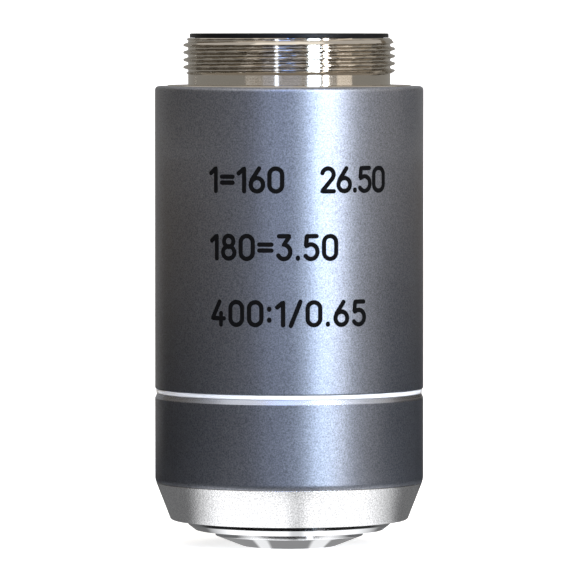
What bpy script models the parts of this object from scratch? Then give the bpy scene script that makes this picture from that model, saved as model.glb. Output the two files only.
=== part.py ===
"""Long-working-distance microscope objective with a spring-loaded lens barrel.

The optical axis is Z. The origin is on the axis in the plane of the front rim, and +Z points to the
mounting thread. Lengths are in metres. Radial sizes are built outwards from the lens cells, and
heights upwards from the front rim, so a changed size moves everything that fits round or above it.
"""

import math
from collections import namedtuple

import bmesh
import bpy
from mathutils import Matrix, Vector

# Facets: round the axis, round a pin, and along a rounded edge
OUTER_SEGMENTS = 40
INNER_SEGMENTS = 24
PIN_SEGMENTS = 16
EDGE_STEPS = 3
SHARP_ANGLE = math.radians(28)
MERGE_DISTANCE = 1e-7

# Clearances
FIT = 0.00003            # radial, between pieces screwed or pressed together
SEAM = 0.00003           # axial, between faces that are drawn up tight
SLIDE_FIT = 0.00005      # radial, between the barrel and the tube that guides it
CEMENT = 0.00002         # between the elements of a cemented lens

# Radial build-up, from the lens cells to the casing
CELL_RADIUS = 0.00725
BARREL_WALL = 0.00100
WIRE_DIAMETER = 0.00100
SPRING_CLEARANCE = 0.000385
TUBE_WALL = 0.00167
CASING_WALL = 0.00115

# Front cap, the conical cell that carries the front lens
OPENING_RADIUS = 0.00420
RIM_WIDTH = 0.00025
CAP_RADIUS = 0.00710
CAP_CONE_HEIGHT = 0.00104
CAP_WALL_SHOWN = 0.00056
CAP_FLANGE = 0.00087
LENS_RECESS = 0.00032
CAP_WALL = 0.00115
FRONT_LENS_EDGE = 0.00180
FRONT_LENS_CONE = 0.00120
FRONT_LENS_BACK_RADIUS = 0.01200

# Front holder, the cup that clamps the cap to the barrel
HOLDER_STEP = 0.00030
HOLDER_WALL = 0.00105
HOLDER_FLOOR = 0.00110
HOLDER_HEIGHT = 0.00390
HOLDER_CHAMFER_WIDTH = 0.00065
HOLDER_CHAMFER_HEIGHT = 0.00050
HOLDER_WALL_SHOWN = 0.00047

# Nose ring, the bright cone under the casing
NOSE_GAP = 0.00025
NOSE_LIP = 0.00110
NOSE_CONE_HEIGHT = 0.00360
NOSE_CONE_ANGLE = math.radians(21.4)
NOSE_TOP_INSET = 0.00010
NOSE_EDGE_RADIUS = 0.00025
NOSE_SKIRT = 0.00280
NOSE_SKIRT_WALL = 0.00085

# Casing rings
FRONT_CASING_LENGTH = 0.00855
FRONT_CASING_EASE = 0.00050
FRONT_CASING_CHAMFER_WIDTH = 0.00020
FRONT_CASING_CHAMFER_HEIGHT = 0.00047
COLOUR_RING_HEIGHT = 0.00040
COLOUR_RING_INSET = 0.00012
REAR_CASING_LENGTH = 0.02899
REAR_CASING_ROUND = 0.00035
REAR_CASING_LOWER_ROUND = 0.00006

# Thread mount: RMS thread, 0.8 inch by 36 turns per inch, 55 degree Whitworth form
THREAD_RADIUS = 0.01016
THREAD_PITCH = 0.0254 / 36
THREAD_DEPTH = 0.640327 * THREAD_PITCH
THREAD_CREST_SHARE = 0.22
THREAD_LENGTH = 0.00350
THREAD_CHAMFER_WIDTH = 0.00039
THREAD_CHAMFER_HEIGHT = 0.00064
THREAD_RUNOUT = 0.00035
NECK_LENGTH = 0.00100
SHOULDER_PROUD = 0.00010
FLANGE_THICKNESS = 0.00210
MOUNT_WALL = 0.00081
MOUNT_SPIGOT = 0.00150
MOUNT_SPIGOT_WALL = 0.00090
MOUNT_ROOF = 0.00110
MOUNT_EDGE = 0.00015
RELIEF_CLEARANCE = 0.00020
RELIEF_DEPTH = 0.00020

# Rear lock ring
LOCK_LIP = 0.00065
LOCK_FLANGE = 0.00042
LOCK_SPIGOT = 0.00230
LOCK_WALL = 0.00150
LOCK_CHAMFER = 0.00012
LOCK_SLOT_WIDTH = 0.00120
LOCK_SLOT_DEPTH = 0.00070
LOCK_SLOT_RIM = 0.00050

# Retraction of the barrel
TRAVEL = 0.00220
PIN_RADIUS = 0.00060
PIN_ABOVE_STEP = 0.00200
PIN_SUNK = 0.00005
PIN_TIP_GAP = 0.00015
KEYWAY_DEPTH = 0.00120
KEYWAY_END_WALL = 0.00180
SPRING_LENGTH = 0.01230
SPRING_ACTIVE_TURNS = 3
SPRING_END_PITCH = 0.00106
SPRING_GRIND = 0.00030
SPRING_SIDES = 6
SPRING_STEPS_PER_TURN = 20
TUBE_SHOULDER = 0.00240
STOP_RING_HEIGHT = 0.00260
STOP_RING_CLEARANCE = 0.00015

# Lens train
LENS_SEAT = 0.00035
CELL_LEDGE = 0.00050
CELL_RIM = 0.00030
SPACER_WALL = 0.00180
STOP_THICKNESS = 0.00040
STOP_HOLE = 0.00300
CLAMP_HEIGHT = 0.00130
CLAMP_WALL = 0.00220
CLAMP_SLOT_WIDTH = 0.00100
CLAMP_SLOT_DEPTH = 0.00060
BARREL_RIM = 0.00030

# Lenses 2 to 7, counted from the front: surface curvatures, positive where the centre lies towards the
# thread; rim heights of the elements; the cell's wall round the wide lenses, or the radius of the small
# ones behind the stop; and the air gap in front
LENS_2_CURVES = (-0.0220, -0.0095)
LENS_2_RIMS = (0.0010,)
LENS_2_WALL = 0.00085
LENS_2_AIR = 0.00080
LENS_3_CURVES = (0.0240, -0.0090, -0.0300)
LENS_3_RIMS = (0.0010, 0.0036)
LENS_3_WALL = 0.00085
LENS_3_AIR = 0.00025
LENS_4_CURVES = (0.0300, 0.0095, -0.0140)
LENS_4_RIMS = (0.0026, 0.0010)
LENS_4_WALL = 0.00105
LENS_4_AIR = 0.00035
LENS_5_CURVES = (0.0160, -0.0120, 0.0100, -0.0130)
LENS_5_RIMS = (0.0009, 0.0036, 0.0009)
LENS_5_WALL = 0.00205
LENS_5_AIR = 0.00035
LENS_6_CURVES = (0.0070, -0.0090, 0.0046)
LENS_6_RIMS = (0.0012, 0.0028)
LENS_6_RADIUS = 0.00360
LENS_6_AIR = 0.00160
LENS_7_CURVES = (-0.0042, -0.0060)
LENS_7_RIMS = (0.0020,)
LENS_7_RADIUS = 0.00320
LENS_7_AIR = 0.00400

Group = namedtuple("Group", "number curves rims lens_radius air")
GROUPS = (
    Group(2, LENS_2_CURVES, LENS_2_RIMS, CELL_RADIUS - LENS_2_WALL, LENS_2_AIR),
    Group(3, LENS_3_CURVES, LENS_3_RIMS, CELL_RADIUS - LENS_3_WALL, LENS_3_AIR),
    Group(4, LENS_4_CURVES, LENS_4_RIMS, CELL_RADIUS - LENS_4_WALL, LENS_4_AIR),
    Group(5, LENS_5_CURVES, LENS_5_RIMS, CELL_RADIUS - LENS_5_WALL, LENS_5_AIR),
    Group(6, LENS_6_CURVES, LENS_6_RIMS, LENS_6_RADIUS, LENS_6_AIR),
    Group(7, LENS_7_CURVES, LENS_7_RIMS, LENS_7_RADIUS, LENS_7_AIR),
)
STOP_IN_FRONT_OF = 6

# Radii that follow from the build-up
BARREL_BORE = CELL_RADIUS + FIT
BARREL_RADIUS = BARREL_BORE + BARREL_WALL
SPRING_RADIUS = BARREL_RADIUS + SPRING_CLEARANCE + WIRE_DIAMETER / 2
TUBE_BORE = SPRING_RADIUS + WIRE_DIAMETER / 2 + SPRING_CLEARANCE
TUBE_RADIUS = TUBE_BORE + TUBE_WALL
CASING_BORE = TUBE_RADIUS + FIT
CASING_RADIUS = CASING_BORE + CASING_WALL
LAND_RADIUS = TUBE_BORE - SLIDE_FIT
HOLDER_RADIUS = LAND_RADIUS - HOLDER_STEP
HOLDER_BORE = HOLDER_RADIUS - HOLDER_WALL
BARREL_NOSE_RADIUS = HOLDER_BORE - FIT
NOSE_TOP_RADIUS = CASING_RADIUS - NOSE_TOP_INSET
NOSE_BOTTOM_RADIUS = NOSE_TOP_RADIUS - NOSE_CONE_HEIGHT * math.tan(NOSE_CONE_ANGLE)
NOSE_SKIRT_BORE = TUBE_RADIUS - NOSE_SKIRT_WALL
TUBE_END_RADIUS = NOSE_SKIRT_BORE - FIT
FRONT_LENS_RADIUS = CELL_RADIUS - CAP_WALL
THREAD_ROOT = THREAD_RADIUS - THREAD_DEPTH
MOUNT_BORE = THREAD_ROOT - MOUNT_WALL
LOCK_RADIUS = MOUNT_BORE + LOCK_LIP
LOCK_BORE = MOUNT_BORE - LOCK_WALL

# Heights of the outer pieces
HOLDER_BOTTOM = CAP_CONE_HEIGHT + CAP_WALL_SHOWN
NOSE_BOTTOM = HOLDER_BOTTOM + HOLDER_CHAMFER_HEIGHT + HOLDER_WALL_SHOWN
NOSE_SEAT = NOSE_BOTTOM + NOSE_CONE_HEIGHT
TUBE_BOTTOM = NOSE_BOTTOM + NOSE_LIP + SEAM
NOSE_TOP = NOSE_SEAT + NOSE_SKIRT
TUBE_STEP = NOSE_TOP + SEAM
FRONT_CASING_BOTTOM = NOSE_SEAT + SEAM
FRONT_CASING_TOP = FRONT_CASING_BOTTOM + FRONT_CASING_LENGTH
COLOUR_RING_BOTTOM = FRONT_CASING_TOP + SEAM
COLOUR_RING_TOP = COLOUR_RING_BOTTOM + COLOUR_RING_HEIGHT
REAR_CASING_BOTTOM = COLOUR_RING_TOP + SEAM
REAR_CASING_TOP = REAR_CASING_BOTTOM + REAR_CASING_LENGTH
SHOULDER = REAR_CASING_TOP + SHOULDER_PROUD
FLANGE_BOTTOM = SHOULDER - FLANGE_THICKNESS
TUBE_TOP = FLANGE_BOTTOM - SEAM
THREAD_BOTTOM = SHOULDER + NECK_LENGTH
THREAD_TOP = THREAD_BOTTOM + THREAD_LENGTH

# Heights of the retracting barrel
CAP_FLANGE_BOTTOM = HOLDER_BOTTOM + HOLDER_FLOOR + SEAM
CAP_FLANGE_TOP = CAP_FLANGE_BOTTOM + CAP_FLANGE
BARREL_BOTTOM = CAP_FLANGE_TOP + SEAM
HOLDER_TOP = HOLDER_BOTTOM + HOLDER_HEIGHT
LAND_BOTTOM = HOLDER_TOP + SEAM
PIN_HEIGHT = TUBE_STEP + PIN_ABOVE_STEP
KEYWAY_BOTTOM = PIN_HEIGHT - TRAVEL - PIN_RADIUS - SLIDE_FIT
KEYWAY_TOP = PIN_HEIGHT + PIN_RADIUS + SLIDE_FIT
LAND_TOP = KEYWAY_TOP + KEYWAY_END_WALL
SPRING_BOTTOM = LAND_TOP + SEAM
SPRING_TOP = SPRING_BOTTOM + SPRING_LENGTH
TUBE_SHOULDER_BOTTOM = SPRING_TOP + SEAM
TUBE_SHOULDER_TOP = TUBE_SHOULDER_BOTTOM + TUBE_SHOULDER
STOP_RING_BOTTOM = TUBE_SHOULDER_TOP + SEAM
STOP_RING_TOP = STOP_RING_BOTTOM + STOP_RING_HEIGHT

# Looks: base colour, roughness, metallic
NICKEL = ((0.56, 0.53, 0.49), 0.22, 1.0)
BRIGHT_STEEL = ((0.72, 0.73, 0.75), 0.30, 1.0)
POLISHED_STEEL = ((0.78, 0.79, 0.81), 0.10, 1.0)
GREY_ANODISED = ((0.13, 0.135, 0.15), 0.42, 0.85)
WHITE_ENAMEL = ((0.93, 0.93, 0.92), 0.35, 0.0)
BLACK_ANODISED = ((0.012, 0.012, 0.014), 0.45, 0.3)
BRASS = ((0.62, 0.47, 0.20), 0.35, 1.0)
SPRING_STEEL = ((0.50, 0.50, 0.52), 0.28, 1.0)
CROWN_GLASS = ((0.86, 0.93, 0.94), 0.02, 0.0)
FLINT_GLASS = ((0.80, 0.88, 0.80), 0.02, 0.0)


def clear_scene():
    for stored in list(bpy.data.objects):
        bpy.data.objects.remove(stored, do_unlink=True)


def make_material(name, look):
    """A Principled material with the look's colour, roughness and metallic value."""
    colour, roughness, metallic = look
    material = bpy.data.materials.new(name)
    material.use_nodes = True
    material.diffuse_color = (*colour, 1.0)
    shader = material.node_tree.nodes["Principled BSDF"]
    shader.inputs["Base Color"].default_value = (*colour, 1.0)
    shader.inputs["Roughness"].default_value = roughness
    shader.inputs["Metallic"].default_value = metallic
    if look in (CROWN_GLASS, FLINT_GLASS):
        shader.inputs["Transmission Weight"].default_value = 0.9
    return material


def add_object(name, bm, look, parent=None):
    """One closed body from the bmesh, faces outward, smooth except at its real edges."""
    bmesh.ops.remove_doubles(bm, verts=bm.verts, dist=MERGE_DISTANCE)
    bmesh.ops.recalc_face_normals(bm, faces=bm.faces)
    mesh = bpy.data.meshes.new(name)
    bm.to_mesh(mesh)
    bm.free()
    mesh.shade_smooth()
    mesh.set_sharp_from_angle(angle=SHARP_ANGLE)
    mesh.materials.append(make_material(name, look))
    piece = bpy.data.objects.new(name, mesh)
    bpy.context.scene.collection.objects.link(piece)
    piece.parent = parent
    return piece


def turned(name, profile, look, parent=None, segments=OUTER_SEGMENTS):
    """A turned piece: the closed section of (radius, height) points spun round the Z axis."""
    bm = bmesh.new()
    section = [bm.verts.new((radius, 0.0, height)) for radius, height in profile]
    edges = []
    for first, second in zip(section, section[1:] + section[:1]):
        if first.co.x > 0 or second.co.x > 0:
            edges.append(bm.edges.new((first, second)))
    bmesh.ops.spin(
        bm,
        geom=section + edges,
        axis=(0.0, 0.0, 1.0),
        cent=(0.0, 0.0, 0.0),
        angle=2 * math.pi,
        steps=segments,
        use_merge=True,
    )
    return add_object(name, bm, look, parent)


def arc(centre, radius, start, end, steps=EDGE_STEPS):
    """Points of a round edge about centre (radius, height), from start to end degrees."""
    points = []
    for step in range(steps + 1):
        angle = math.radians(start + (end - start) * step / steps)
        points.append((centre[0] + radius * math.cos(angle), centre[1] + radius * math.sin(angle)))
    return points


def cut(target, cutter):
    """Takes the cutter out of the target with a live Boolean, and hides the cutter."""
    modifier = target.modifiers.new("cut_" + cutter.name, "BOOLEAN")
    modifier.operation = "DIFFERENCE"
    modifier.solver = "EXACT"
    modifier.object = cutter
    cutter.hide_render = True
    cutter.display_type = "WIRE"


def box_cutter(name, low, high):
    bm = bmesh.new()
    bmesh.ops.create_cube(bm, size=1.0)
    size = [top - bottom for bottom, top in zip(low, high)]
    middle = [(top + bottom) / 2 for bottom, top in zip(low, high)]
    bmesh.ops.transform(bm, matrix=Matrix.Translation(middle) @ Matrix.Diagonal((*size, 1.0)), verts=bm.verts)
    return add_object(name, bm, BLACK_ANODISED)


def radial_cylinder(name, radius, inner, outer, height, look):
    """A round bar that lies along +Y, across the axis, from inner to outer."""
    bm = bmesh.new()
    bmesh.ops.create_cone(bm, cap_ends=True, segments=PIN_SEGMENTS, radius1=radius, radius2=radius, depth=outer - inner)
    turn = Matrix.Rotation(math.radians(-90), 4, "X")
    middle = Matrix.Translation((0.0, (inner + outer) / 2, height))
    bmesh.ops.transform(bm, matrix=middle @ turn, verts=bm.verts)
    return add_object(name, bm, look)


# Thread mount


def thread_radius(turns):
    """Radius of the thread form at a distance along it, in turns: flat crests and roots, straight flanks."""
    place = abs((turns % 1.0) - 0.5) * 2
    flank = (place - THREAD_CREST_SHARE) / (1 - 2 * THREAD_CREST_SHARE)
    return THREAD_RADIUS - THREAD_DEPTH * min(max(flank, 0.0), 1.0)


def thread_rows():
    """Rows of (radius, height) points, one for each facet edge, that follow the thread up from its run-out.

    A row climbs one pitch in a turn, so its last point is the first point of a row one turn higher.
    Rows that would leave the thread's length stay in its end planes, and the run-out and the lead-in
    chamfer are cones that cut the form down.
    """
    corners = (THREAD_CREST_SHARE / 2, 0.5 - THREAD_CREST_SHARE / 2, 0.5 + THREAD_CREST_SHARE / 2,
               1 - THREAD_CREST_SHARE / 2)
    turns = math.ceil(THREAD_LENGTH / THREAD_PITCH)
    levels = [turn + corner for turn in range(-2, turns + 1) for corner in corners]
    snap = THREAD_PITCH / 50
    rows = []
    for level in levels:
        row = []
        for facet in range(OUTER_SEGMENTS + 1):
            lead = facet / OUTER_SEGMENTS
            height = min(max((level + lead) * THREAD_PITCH, 0.0), THREAD_LENGTH)
            if height < snap:
                height = 0.0
            if height > THREAD_LENGTH - snap:
                height = THREAD_LENGTH
            form = thread_radius(height / THREAD_PITCH - lead)
            run_out = THREAD_ROOT + THREAD_DEPTH * height / THREAD_RUNOUT
            below_end = (THREAD_LENGTH - height) / THREAD_CHAMFER_HEIGHT
            lead_in = THREAD_RADIUS - THREAD_CHAMFER_WIDTH * (1 - below_end)
            row.append((min(form, run_out, lead_in), THREAD_BOTTOM + height))
        rows.append(row)
    return rows


def thread_mount():
    """Flange, neck and RMS thread, turned in one piece, with a spigot that screws into the main tube.

    A shallow relief round the neck lets the flange's flat face meet the nosepiece.
    """
    flange_radius = CASING_BORE - FIT
    spigot_radius = TUBE_BORE - FIT
    spigot_bore = spigot_radius - MOUNT_SPIGOT_WALL
    spigot_bottom = FLANGE_BOTTOM - MOUNT_SPIGOT
    roof = SHOULDER - MOUNT_ROOF
    relief_radius = THREAD_RADIUS + RELIEF_CLEARANCE
    body = [
        (MOUNT_BORE, THREAD_TOP),
        (MOUNT_BORE, roof),
        (spigot_bore, roof),
        (spigot_bore, spigot_bottom),
        (spigot_radius, spigot_bottom),
        (spigot_radius, FLANGE_BOTTOM),
        (flange_radius, FLANGE_BOTTOM),
        (flange_radius, SHOULDER - MOUNT_EDGE),
        (flange_radius - MOUNT_EDGE, SHOULDER),
        (relief_radius, SHOULDER),
        (relief_radius, SHOULDER - RELIEF_DEPTH),
        (THREAD_ROOT, SHOULDER - RELIEF_DEPTH),
    ]
    rows = [[point] * (OUTER_SEGMENTS + 1) for point in body] + thread_rows()
    bm = bmesh.new()
    grid = []
    for row in rows:
        verts = []
        for facet, (radius, height) in enumerate(row):
            angle = 2 * math.pi * facet / OUTER_SEGMENTS
            verts.append(bm.verts.new((radius * math.cos(angle), radius * math.sin(angle), height)))
        grid.append(verts)
    for lower, upper in zip(grid, grid[1:] + grid[:1]):
        for facet in range(OUTER_SEGMENTS):
            bm.faces.new((lower[facet], lower[facet + 1], upper[facet + 1], upper[facet]))
    bmesh.ops.remove_doubles(bm, verts=bm.verts, dist=MERGE_DISTANCE)
    bmesh.ops.dissolve_degenerate(bm, edges=bm.edges, dist=MERGE_DISTANCE)
    bmesh.ops.triangulate(bm, faces=bm.faces)
    return add_object("thread_mount", bm, NICKEL)


def rear_lock_ring():
    """Black ring screwed into the back of the mount, with two blind slots for a spanner."""
    bottom = THREAD_TOP + SEAM
    top = bottom + LOCK_FLANGE
    spigot = MOUNT_BORE - FIT
    ring = turned("rear_lock_ring", [
        (LOCK_BORE, bottom - LOCK_SPIGOT),
        (spigot, bottom - LOCK_SPIGOT),
        (spigot, bottom),
        (LOCK_RADIUS, bottom),
        (LOCK_RADIUS, top - LOCK_CHAMFER),
        (LOCK_RADIUS - LOCK_CHAMFER, top),
        (LOCK_BORE + LOCK_CHAMFER, top),
        (LOCK_BORE, top - LOCK_CHAMFER),
    ], BLACK_ANODISED)
    reach = LOCK_RADIUS - LOCK_SLOT_RIM
    half = LOCK_SLOT_WIDTH / 2
    cut(ring, box_cutter("lock_slot_cutter", (-reach, -half, top - LOCK_SLOT_DEPTH), (reach, half, top + LOCK_FLANGE)))


# Outer shell


def rear_casing():
    """Long engraved sleeve of the body."""
    small = REAR_CASING_LOWER_ROUND
    corner = (CASING_RADIUS - REAR_CASING_ROUND, REAR_CASING_TOP - REAR_CASING_ROUND)
    turned("rear_casing", [
        (CASING_BORE, REAR_CASING_BOTTOM),
        (CASING_RADIUS - small, REAR_CASING_BOTTOM),
        (CASING_RADIUS, REAR_CASING_BOTTOM + small),
        *arc(corner, REAR_CASING_ROUND, 0, 90),
        (CASING_BORE, REAR_CASING_TOP),
    ], GREY_ANODISED)


def colour_ring():
    """Enamelled ring that codes the magnification, clamped between the two casings."""
    radius = CASING_RADIUS - COLOUR_RING_INSET
    turned("colour_ring", [
        (CASING_BORE, COLOUR_RING_BOTTOM),
        (radius, COLOUR_RING_BOTTOM),
        (radius, COLOUR_RING_TOP),
        (CASING_BORE, COLOUR_RING_TOP),
    ], WHITE_ENAMEL)


def front_casing():
    """Short sleeve under the colour ring, with a bare chamfer at its top.

    Its wall eases in at the foot, on an arc that ends at the nose ring's radius.
    """
    ease_radius = (FRONT_CASING_EASE ** 2 + NOSE_TOP_INSET ** 2) / (2 * NOSE_TOP_INSET)
    ease_centre = (CASING_RADIUS - ease_radius, FRONT_CASING_BOTTOM + FRONT_CASING_EASE)
    ease_angle = math.degrees(math.asin(FRONT_CASING_EASE / ease_radius))
    turned("front_casing", [
        (CASING_BORE, FRONT_CASING_BOTTOM),
        *arc(ease_centre, ease_radius, -ease_angle, 0),
        (CASING_RADIUS, FRONT_CASING_TOP - FRONT_CASING_CHAMFER_HEIGHT),
        (CASING_RADIUS - FRONT_CASING_CHAMFER_WIDTH, FRONT_CASING_TOP),
        (CASING_BORE, FRONT_CASING_TOP),
    ], GREY_ANODISED)


def nose_ring():
    """Bright cone that closes the shell. Its skirt screws onto the tube inside the front casing."""
    lip_bore = HOLDER_RADIUS + NOSE_GAP
    edge_reach = NOSE_EDGE_RADIUS * math.tan(math.pi / 4 - NOSE_CONE_ANGLE / 2)
    edge = (NOSE_BOTTOM_RADIUS - edge_reach, NOSE_BOTTOM + NOSE_EDGE_RADIUS)
    cone_side = -math.degrees(NOSE_CONE_ANGLE)
    turned("nose_ring", [
        (lip_bore, NOSE_BOTTOM),
        *arc(edge, NOSE_EDGE_RADIUS, -90, cone_side),
        (NOSE_TOP_RADIUS, NOSE_SEAT),
        (CASING_BORE - FIT, NOSE_SEAT),
        (CASING_BORE - FIT, NOSE_TOP),
        (NOSE_SKIRT_BORE, NOSE_TOP),
        (NOSE_SKIRT_BORE, NOSE_BOTTOM + NOSE_LIP),
        (lip_bore, NOSE_BOTTOM + NOSE_LIP),
    ], BRIGHT_STEEL)


# Main tube and the spring-loaded barrel


def main_tube():
    """Inner tube that joins mount, casings and nose, and guides the barrel.

    Its inner shoulder takes the spring on one side and the barrel's stop ring on the other.
    """
    shoulder_bore = BARREL_RADIUS + SLIDE_FIT
    tube = turned("main_tube", [
        (TUBE_BORE, TUBE_BOTTOM),
        (TUBE_END_RADIUS, TUBE_BOTTOM),
        (TUBE_END_RADIUS, TUBE_STEP),
        (TUBE_RADIUS, TUBE_STEP),
        (TUBE_RADIUS, TUBE_TOP),
        (TUBE_BORE, TUBE_TOP),
        (TUBE_BORE, TUBE_SHOULDER_TOP),
        (shoulder_bore, TUBE_SHOULDER_TOP),
        (shoulder_bore, TUBE_SHOULDER_BOTTOM),
        (TUBE_BORE, TUBE_SHOULDER_BOTTOM),
    ], BRASS)
    hole = (TUBE_BORE - SPRING_CLEARANCE, TUBE_RADIUS + CASING_WALL)
    cut(tube, radial_cylinder("pin_hole_cutter", PIN_RADIUS + FIT, *hole, PIN_HEIGHT, BRASS))


def guide_pin():
    """Pin through the tube's wall. It rides in the barrel's keyway and ends its travel."""
    tip = LAND_RADIUS - KEYWAY_DEPTH + PIN_TIP_GAP
    radial_cylinder("guide_pin", PIN_RADIUS, tip, TUBE_RADIUS - PIN_SUNK, PIN_HEIGHT, SPRING_STEEL)


def inner_barrel(slide, top):
    """Sliding barrel: a land with a keyway, a thin wall inside the spring, and a bore for the cells."""
    barrel = turned("inner_barrel", [
        (BARREL_BORE, BARREL_BOTTOM),
        (BARREL_NOSE_RADIUS, BARREL_BOTTOM),
        (BARREL_NOSE_RADIUS, LAND_BOTTOM),
        (LAND_RADIUS, LAND_BOTTOM),
        (LAND_RADIUS, LAND_TOP),
        (BARREL_RADIUS, LAND_TOP),
        (BARREL_RADIUS, top),
        (BARREL_BORE, top),
    ], BRASS, slide)
    half = PIN_RADIUS + SLIDE_FIT
    floor = LAND_RADIUS - KEYWAY_DEPTH
    cut(barrel, box_cutter("keyway_cutter", (-half, floor, KEYWAY_BOTTOM), (half, TUBE_RADIUS, KEYWAY_TOP)))


def barrel_stop_ring(slide):
    """Ring fixed on the barrel that rests on the tube's shoulder and sets the focus height."""
    outer = TUBE_BORE - STOP_RING_CLEARANCE
    turned("barrel_stop_ring", [
        (BARREL_RADIUS + FIT, STOP_RING_BOTTOM),
        (outer, STOP_RING_BOTTOM),
        (outer, STOP_RING_TOP),
        (BARREL_RADIUS + FIT, STOP_RING_TOP),
    ], SPRING_STEEL, slide)


def retraction_spring():
    """Compression spring round the barrel, with closed and ground end turns."""
    end_height = SPRING_END_PITCH
    middle_height = SPRING_LENGTH - WIRE_DIAMETER - 2 * end_height
    turns = SPRING_ACTIVE_TURNS + 2
    low = WIRE_DIAMETER / 2
    bm = bmesh.new()
    rings = []
    for step in range(turns * SPRING_STEPS_PER_TURN + 1):
        turn = step / SPRING_STEPS_PER_TURN
        climb = min(max(turn - 1, 0.0), SPRING_ACTIVE_TURNS) / SPRING_ACTIVE_TURNS
        ends = min(turn, 1.0) + max(turn - 1 - SPRING_ACTIVE_TURNS, 0.0)
        centre = low + ends * end_height + climb * middle_height
        centre += SPRING_GRIND * (max(turn - turns + 1, 0.0) - max(1 - turn, 0.0))
        angle = 2 * math.pi * turn
        outward = Vector((math.cos(angle), math.sin(angle), 0.0))
        ring = []
        for side in range(SPRING_SIDES):
            around = 2 * math.pi * side / SPRING_SIDES
            radius = SPRING_RADIUS + WIRE_DIAMETER / 2 * math.cos(around)
            height = centre + WIRE_DIAMETER / 2 * math.sin(around)
            height = SPRING_BOTTOM + min(max(height, 0.0), SPRING_LENGTH)
            ring.append(bm.verts.new(outward * radius + Vector((0.0, 0.0, height))))
        rings.append(ring)
    for first, second in zip(rings, rings[1:]):
        for side in range(SPRING_SIDES):
            after = (side + 1) % SPRING_SIDES
            bm.faces.new((first[side], first[after], second[after], second[side]))
    bm.faces.new(rings[0])
    bm.faces.new(rings[-1])
    return add_object("retraction_spring", bm, SPRING_STEEL)


def front_holder(slide):
    """Chamfered polished cup that screws onto the barrel and clamps the cap's flange."""
    cap_hole = CAP_RADIUS + FIT
    turned("front_holder", [
        (cap_hole, HOLDER_BOTTOM),
        (HOLDER_RADIUS - HOLDER_CHAMFER_WIDTH, HOLDER_BOTTOM),
        (HOLDER_RADIUS, HOLDER_BOTTOM + HOLDER_CHAMFER_HEIGHT),
        (HOLDER_RADIUS, HOLDER_TOP),
        (HOLDER_BORE, HOLDER_TOP),
        (HOLDER_BORE, HOLDER_BOTTOM + HOLDER_FLOOR),
        (cap_hole, HOLDER_BOTTOM + HOLDER_FLOOR),
    ], POLISHED_STEEL, slide)


# Optics


def sag(curvature_radius, height):
    """Axial rise of a spherical surface at a height off the axis."""
    return curvature_radius - math.copysign(math.sqrt(curvature_radius ** 2 - height ** 2), curvature_radius)


def surface(curvature_radius, reach, edge_height, steps=2):
    """Points of a lens surface, from the axis out to reach, where it lies at edge_height."""
    vertex = edge_height - sag(curvature_radius, reach)
    heights = [reach * step / steps for step in range(steps + 1)]
    return [(height, vertex + sag(curvature_radius, height)) for height in heights]


def lens_element(name, lens_radius, front, back, seats, look, slide):
    """A round glass element. front and back are (curvature radius, rim height).

    seats says whether each side ends in the flat bevel that seats it, or runs on to a cemented rim.
    """
    outline = []
    for (curvature_radius, rim), seated in zip((front, back), seats):
        reach = lens_radius - LENS_SEAT if seated else lens_radius
        points = surface(curvature_radius, reach, rim)
        if seated:
            points.append((lens_radius, rim))
        outline.append(points)
    turned(name, outline[0] + outline[1][::-1], look, slide, INNER_SEGMENTS)


Place = namedtuple("Place", "group bottom seat back_rim back_vertex")


def placed(group, vertex_in_front):
    """Where a lens and its cell lie: its front vertex stands one air gap behind the vertex in front of it."""
    reach = group.lens_radius - LENS_SEAT
    front_vertex = vertex_in_front + group.air
    seat = front_vertex + sag(group.curves[0], reach)
    back_rim = seat + sum(group.rims) + CEMENT * (len(group.rims) - 1)
    back_vertex = back_rim - sag(group.curves[-1], reach)
    return Place(group, seat - SEAM - CELL_LEDGE, seat, back_rim, back_vertex)


def lens_cell(place, top, slide):
    """Tube with a ledge that the lens rests on, as high as the stack needs."""
    bore = place.group.lens_radius + FIT
    clear = place.group.lens_radius - LENS_SEAT
    turned(f"lens_cell_{place.group.number}", [
        (clear, place.bottom),
        (CELL_RADIUS, place.bottom),
        (CELL_RADIUS, top),
        (bore, top),
        (bore, place.bottom + CELL_LEDGE),
        (clear, place.bottom + CELL_LEDGE),
    ], BLACK_ANODISED, slide, INNER_SEGMENTS)


def lens(place, slide):
    """The glass elements of one lens, cemented to each other where there are several."""
    group = place.group
    last = len(group.rims) - 1
    rim = place.seat
    for index, rim_height in enumerate(group.rims):
        letter = "abc"[index] if last else ""
        front = (group.curves[index], rim)
        back = (group.curves[index + 1], rim + rim_height)
        seats = (index == 0, index == last)
        look = FLINT_GLASS if index % 2 else CROWN_GLASS
        lens_element(f"lens_{group.number}{letter}", group.lens_radius, front, back, seats, look, slide)
        rim += rim_height + CEMENT


def spacer(name, bottom, top, slide):
    """Plain tube that keeps two cells apart."""
    inner = CELL_RADIUS - SPACER_WALL
    outline = [(inner, bottom), (CELL_RADIUS, bottom), (CELL_RADIUS, top), (inner, top)]
    turned(name, outline, BLACK_ANODISED, slide, INNER_SEGMENTS)


def aperture_stop(top, slide):
    """Thin disc with the hole that limits the beam. Returns its lower face."""
    bottom = top - STOP_THICKNESS
    outline = [(STOP_HOLE, bottom), (CELL_RADIUS, bottom), (CELL_RADIUS, top), (STOP_HOLE, top)]
    turned("aperture_stop", outline, BLACK_ANODISED, slide, INNER_SEGMENTS)
    return bottom


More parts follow.
